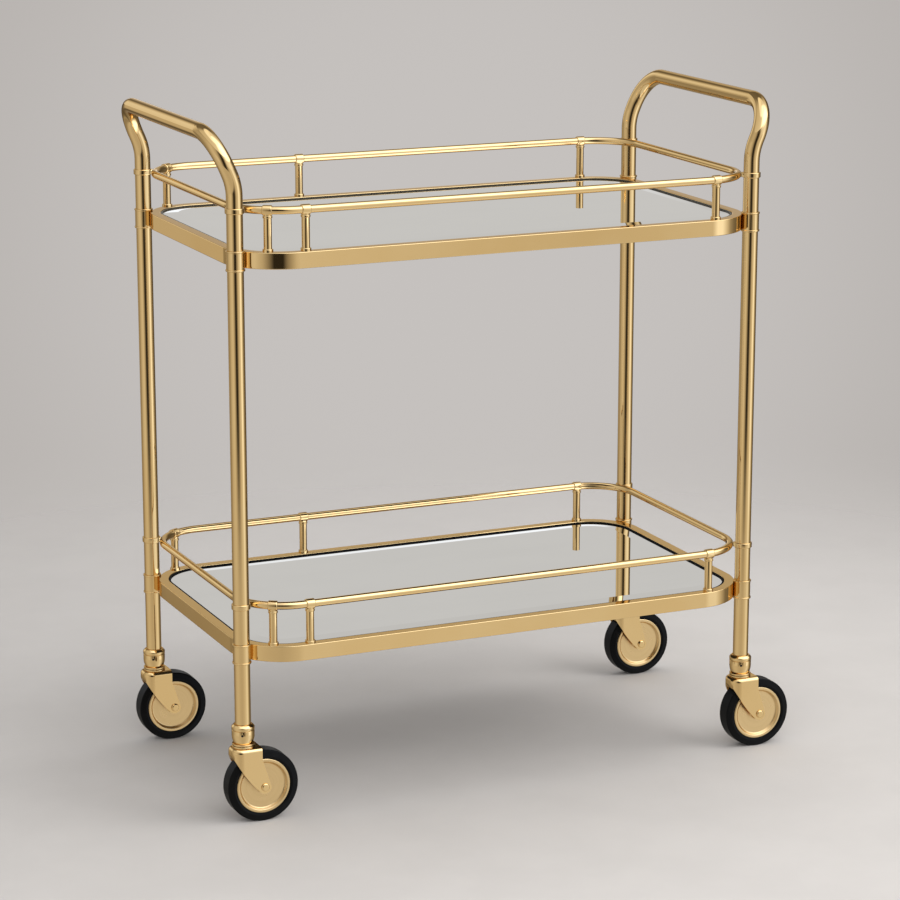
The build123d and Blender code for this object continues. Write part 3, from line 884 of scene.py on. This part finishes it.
# Light of the studio as metal and mirrors show it, in bands of elevation. Each band starts at a
# sine of the elevation, with its fade, over the bands before it. Its stops are turns in degrees,
# as level_vector counts them, each with a light level.
STUDIO_BANDS = (
    (
        "steeply down",
        -2.0,
        0.1,
        (
            (-180, 0.4), (-166, 0.36), (-155, 0.28), (-147, 0.13), (-141, 0.24), (-136, 0.42),
            (-128, 0.33), (-112, 0.36), (-94, 0.55), (-74, 0.64), (-50, 0.66), (-27, 0.6),
            (0, 0.56), (16, 0.6), (32, 0.66), (46, 0.76), (54, 0.75), (63, 0.92), (80, 0.95),
            (95, 0.62), (110, 0.24), (150, 0.14), (165, 0.3), (180, 0.4),
        ),
    ),
    (
        "under the horizon",
        -0.255,
        0.07,
        (
            (-180, 0.12), (-165, 0.12), (-150, 0.14), (-143, 0.52), (-139, 0.66), (-133.5, 0.66),
            (-129, 0.34), (-116, 0.34), (-97, 0.46), (-78, 0.64), (-58, 0.72), (-44, 0.76),
            (-28, 0.57), (-17, 0.31), (-6, 0.03), (12, 0.03), (20, 0.28), (29, 0.48), (38, 0.68),
            (45, 0.76), (51, 0.68), (56, 0.82), (66, 1.25), (78, 1.22), (90, 0.8), (100, 0.42),
            (112, 0.24), (136, 0.12), (160, 0.1), (180, 0.12),
        ),
    ),
    (
        "horizon",
        0.0,
        0.03,
        (
            (-180, 1.05), (-171, 1.05), (-163, 0.24), (-155, 0.26), (-149, 0.8), (-143, 0.96),
            (-134, 0.92), (-127, 0.5), (-118, 0.5), (-89, 0.55), (-60, 0.72), (-32, 0.55),
            (-17, 0.28), (-6, 0.03), (12, 0.03), (21, 0.35), (32, 0.8), (50, 0.95), (62, 1.1),
            (80, 1.1), (97, 0.45), (112, 0.12), (150, 0.12), (164, 0.45), (175, 0.58),
            (177.5, 1.05), (180, 1.05),
        ),
    ),
    (
        "backdrop",
        0.145,
        0.02,
        (
            (-180, 0.6), (-170, 0.6), (-164, 0.22), (-157, 0.22), (-150, 0.7), (-144, 0.98),
            (-136, 0.95), (-128, 0.74), (-118, 0.5), (-89, 0.55), (-60, 0.72), (-32, 0.55),
            (-17, 0.28), (-6, 0.03), (12, 0.03), (21, 0.4), (32, 0.85), (50, 1.0), (80, 1.2),
            (100, 0.5), (114, 0.12), (150, 0.12), (162, 0.4), (171, 0.6), (180, 0.6),
        ),
    ),
    (
        "over the horizon in front",
        0.36,
        0.06,
        (
            (-180, 0.58), (-171, 0.58), (-165, 0.24), (-156, 0.16), (-150, 0.24), (-145, 0.45),
            (-137, 0.82), (-128, 0.76), (-112, 0.42), (-60, 0.62), (-30, 0.55), (-12, 0.1),
            (8, 0.1), (24, 0.8), (40, 1.2), (56, 1.9), (100, 2.2), (118, 0.5), (134, 0.15),
            (160, 0.2), (171, 0.58), (180, 0.58),
        ),
    ),
    (
        "over the backdrop",
        0.5,
        0.04,
        (
            (-180, 0.16), (-130, 0.2), (-105, 0.7), (-40, 0.8), (0, 0.9), (30, 2.2), (50, 2.6),
            (95, 2.6), (120, 1.0), (140, 0.7), (160, 0.2), (180, 0.16),
        ),
    ),
    (
        "ceiling",
        0.88,
        0.06,
        (
            (-180, 1.2), (-60, 1.2), (40, 2.0), (100, 1.8), (125, 1.0), (180, 1.0),
        ),
    ),
)
STUDIO_PEAK = 3.0
# Lamps brighter than GLOW_START look cool, by up to GLOW_MOST, but not where the turn is past
# STUDIO_BEHIND. TINTS gives green and blue their share of a light level: when dim, what full light
# adds and what the glow adds.
GLOW_START = 0.7
GLOW_MOST = 0.4
STUDIO_BEHIND = 168.0
TINTS = ((0.90, 0.12, 0.15), (0.76, 0.28, 0.55))
SENSOR_WIDTH = 36.0  # millimetres, as the lens
# Soft lamps: name, turn, distance, height, side and colour. They aim at the middle of the cart.
AIM_HEIGHT = 0.35
LAMPS = (
    ("key", 72.0, 3.8, 2.3, 3.0, (1.0, 0.985, 0.965)),
    ("top", 120.0, 0.6, 2.6, 1.8, (1.0, 0.99, 0.97)),
    ("fill", 12.0, 2.3, 1.4, 1.6, (1.0, 0.99, 0.98)),
)


def studio_tint(light, turn):
    """Colour of a light level: warm where dim, plain at one, and cool in the brightest lamps."""
    share = min(light, 1.0)
    glow = min(max(light - GLOW_START, 0.0), GLOW_MOST) if abs(turn) <= STUDIO_BEHIND else 0.0
    return (light, *(light * (dim + full * share + cool * glow) for dim, full, cool in TINTS))


def studio_light(nodes):
    """Light that metal meets in each direction: a ramp round the turn in each band of elevation."""
    place = nodes.add("ShaderNodeTexCoord", "direction").outputs["Generated"]
    height = nodes.add("ShaderNodeSeparateXYZ", "height", Vector=place).outputs["Z"]
    parts = []
    for turn in (90.0, 0.0):
        label, settings = f"part at turn {turn:.0f}", {"operation": "DOT_PRODUCT"}
        dot = nodes.add("ShaderNodeVectorMath", label, settings)
        nodes.feed(dot, "0", place)
        nodes.feed(dot, "1", level_vector(turn))
        parts.append(dot.outputs["Value"])
    turn = nodes.math("turn", "ARCTAN2", *parts)
    share = nodes.spread("turn share", turn, -math.pi, math.pi, 0.0, 1.0, smooth=False)
    lit = None
    for name, start, fade, stops in STUDIO_BANDS:
        ramp = nodes.add("ShaderNodeValToRGB", name, Fac=share)
        elements = ramp.color_ramp.elements
        while len(elements) < len(stops):
            elements.new(0.5)
        for element, (at, light) in zip(elements, stops):
            element.position = (at + 180) / 360
            element.color = (*(v / STUDIO_PEAK for v in studio_tint(light, at)), 1.0)
        band = ramp.outputs["Color"]
        if lit is None:
            lit = band
        else:
            low, high = start - fade / 2, start + fade / 2
            cover = nodes.spread(name + " cover", height, low, high, 0.0, 1.0)
            lit = nodes.mix(name + " over the rest", cover, lit, band)
    settings = {"operation": "SCALE"}
    peak = nodes.add("ShaderNodeVectorMath", "studio light", settings, Scale=STUDIO_PEAK)
    nodes.feed(peak, "0", lit)
    return peak.outputs["Vector"]


def build_world(studio):
    """World: plain backdrop for the camera, studio light for metal, one plain level on the rest."""
    world = bpy.data.worlds.new("studio")
    bpy.context.scene.world = world
    world.use_nodes = True
    nodes = Nodes(world.node_tree)
    place = nodes.add("ShaderNodeTexCoord", "direction").outputs["Generated"]
    dot = nodes.add("ShaderNodeVectorMath", "middle of backdrop", {"operation": "DOT_PRODUCT"})
    nodes.feed(dot, "0", place)
    ahead = Vector(level_vector(180.0)) + Vector((0.0, 0.0, -math.tan(studio.glow_drop)))
    nodes.feed(dot, "1", ahead.normalized())
    edge = math.cos(studio.glow_reach)
    glow = nodes.spread("glow", dot.outputs["Value"], edge, 1.0, 0.0, 1.0)
    plain = nodes.mix("plain backdrop", glow, studio.backdrop_side, studio.backdrop)
    ray = nodes.add("ShaderNodeLightPath", "ray").outputs
    room = (studio.room_light,) * 3
    seen = nodes.mix("seen or lighting", ray["Is Camera Ray"], room, plain)
    metal, glass = ray["Is Glossy Ray"], ray["Is Transmission Ray"]
    mirrored = nodes.math("metal or glass", "MAXIMUM", metal, glass)
    colour_of = nodes.mix("what a ray meets", mirrored, seen, studio_light(nodes))
    back = nodes.add("ShaderNodeBackground", "light", Color=colour_of, Strength=1.0)
    output = nodes.add("ShaderNodeOutputWorld", "output")
    nodes.tree.links.new(back.outputs["Background"], output.inputs["Surface"])


def floor_material(studio):
    """Pale paper with a faint mottle, which fades into the backdrop and isn't seen in metal."""
    nodes, shader, place = start_material("floor_paper", Roughness=0.85, Specular_IOR_Level=0.2)
    mottle = nodes.noise("mottle", place["Object"], 7.0, 4.0, 0.6)
    fibre = nodes.noise("fibre", place["Object"], 600.0, 2.0)
    tone = nodes.spread("mottle tone", mottle, 0.3, 0.7, 0.0, 1.0)
    paper = studio.floor_colour
    nodes.feed(shader, "Base Color", nodes.mix("paper", tone, paper, scaled(paper, 0.96)))
    nodes.feed(shader, "Normal", nodes.bump("fibre height", fibre, 0.05, 0.0005))
    reach = nodes.add("ShaderNodeVectorMath", "reach", {"operation": "LENGTH"})
    nodes.feed(reach, "0", place["Object"])
    limits = (studio.fade_start, studio.fade_end, 1.0, 0.0)
    seen = nodes.spread("paper as seen", reach.outputs["Value"], *limits)
    ray = nodes.add("ShaderNodeLightPath", "ray").outputs["Is Glossy Ray"]
    hidden = nodes.math("not in metal", "SUBTRACT", 1.0, ray)
    clear = nodes.add("ShaderNodeBsdfTransparent", "clear")
    blend = nodes.add("ShaderNodeMixShader", "fade into the backdrop")
    nodes.feed(blend, "0", nodes.math("fade", "MULTIPLY", seen, hidden))
    nodes.tree.links.new(clear.outputs["BSDF"], blend.inputs[1])
    nodes.tree.links.new(shader.outputs["BSDF"], blend.inputs[2])
    output = next(n for n in nodes.tree.nodes if n.type == "OUTPUT_MATERIAL")
    nodes.tree.links.new(blend.outputs["Shader"], output.inputs["Surface"])
    return MATERIALS["floor_paper"]


def floor_mesh(radius):
    """Disc of rings: each point is radius cosine and radius sine of an even turn."""
    r = np.linspace(0, radius, FLOOR_RINGS)[:, None]
    t = np.linspace(0, 2 * math.pi, FLOOR_SIDES, endpoint=False)[None]
    points = np.stack([r * np.cos(t), r * np.sin(t), 0 * r * t], -1)
    mesh = grid_mesh("floor", points, False, True, weld=True)
    if mesh.polygons[0].normal.z < 0:
        mesh.flip_normals()
    return mesh


def aim(obj, target):
    """Points an object's -Z axis at a place, with its Y axis up."""
    direction = Vector(target) - obj.location
    obj.rotation_euler = direction.to_track_quat("-Z", "Y").to_euler()


def area_lamp(name, turn, reach, height, side, tint, power):
    """Soft square lamp at a turn from the camera's side, aimed at the cart's middle."""
    lamp = bpy.data.lights.new(name + " lamp", "AREA")
    lamp.shape = "RECTANGLE"
    lamp.size = lamp.size_y = side
    lamp.energy = power
    lamp.color = tint
    obj = bpy.data.objects.new(name + " lamp", lamp)
    bpy.context.scene.collection.objects.link(obj)
    x, y, _ = level_vector(turn)
    obj.location = (x * reach, y * reach, height)
    aim(obj, (0.0, 0.0, AIM_HEIGHT))
    obj.visible_glossy = False


class CART_OT_stage(bpy.types.Operator):
    """Build the floor, the lamps, the world and the camera"""

    bl_idname = "cart.stage"
    bl_label = "Build stage"

    def execute(self, context):
        scene = context.scene
        studio = scene.cart_studio
        floor = bpy.data.objects.new("floor", floor_mesh(studio.floor_r))
        floor.data.materials.append(floor_material(studio))
        scene.collection.objects.link(floor)
        build_world(studio)
        for name, *place in LAMPS:
            area_lamp(name, *place, power=getattr(studio, name + "_power"))
        camera = bpy.data.objects.new("camera", bpy.data.cameras.new("camera"))
        camera.data.lens = studio.lens
        camera.data.sensor_width = SENSOR_WIDTH
        a, e = studio.azimuth, studio.elevation
        target = np.array([studio.target_x, 0.0, studio.target_z])
        back = np.array([math.sin(a) * math.cos(e), -math.cos(a) * math.cos(e), math.sin(e)])
        camera.location = tuple(target + back * studio.distance)
        scene.collection.objects.link(camera)
        aim(camera, target)
        scene.camera = camera
        scene.view_settings.view_transform = "Standard"
        return {"FINISHED"}


STEPS = (
    CART_OT_finishes,
    CART_OT_handles,
    CART_OT_posts,
    CART_OT_trays,
    CART_OT_mirrors,
    CART_OT_rails,
    CART_OT_wheels,
    CART_OT_fittings,
    CART_OT_casters,
    CART_OT_stage,
)


class CART_PT_panel(bpy.types.Panel):
    """Lists the cart's steps and sizes"""

    bl_idname = "CART_PT_panel"
    bl_label = "Bar Cart"
    bl_space_type = "VIEW_3D"
    bl_region_type = "UI"
    bl_category = "Bar Cart"

    def draw(self, context):
        column = self.layout.column(align=True)
        for step in STEPS:
            column.operator(step.bl_idname)
        for group in (getattr(context.scene, key) for key in GROUPS):
            box = self.layout.box()
            for key in group.bl_rna.properties.keys():
                if key not in ("rna_type", "name"):
                    box.prop(group, key)


GROUPS = {"cart_sizes": CartSizes, "cart_colours": CartColours, "cart_studio": StudioSettings}
CLASSES = (*GROUPS.values(), *STEPS, CART_PT_panel)


def register():
    """Registers the classes and hangs the settings on the scene."""
    for item in CLASSES:
        bpy.utils.register_class(item)
    for key, group in GROUPS.items():
        setattr(bpy.types.Scene, key, bpy.props.PointerProperty(type=group))


def unregister():
    """Takes the settings and classes away again."""
    for key in GROUPS:
        delattr(bpy.types.Scene, key)
    for item in reversed(CLASSES):
        bpy.utils.unregister_class(item)


def main():
    """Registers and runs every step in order."""
    register()
    for step in STEPS:
        area, _, call = step.bl_idname.partition(".")
        getattr(getattr(bpy.ops, area), call)()
    bpy.context.view_layer.update()


if __name__ == "__main__":
    main()
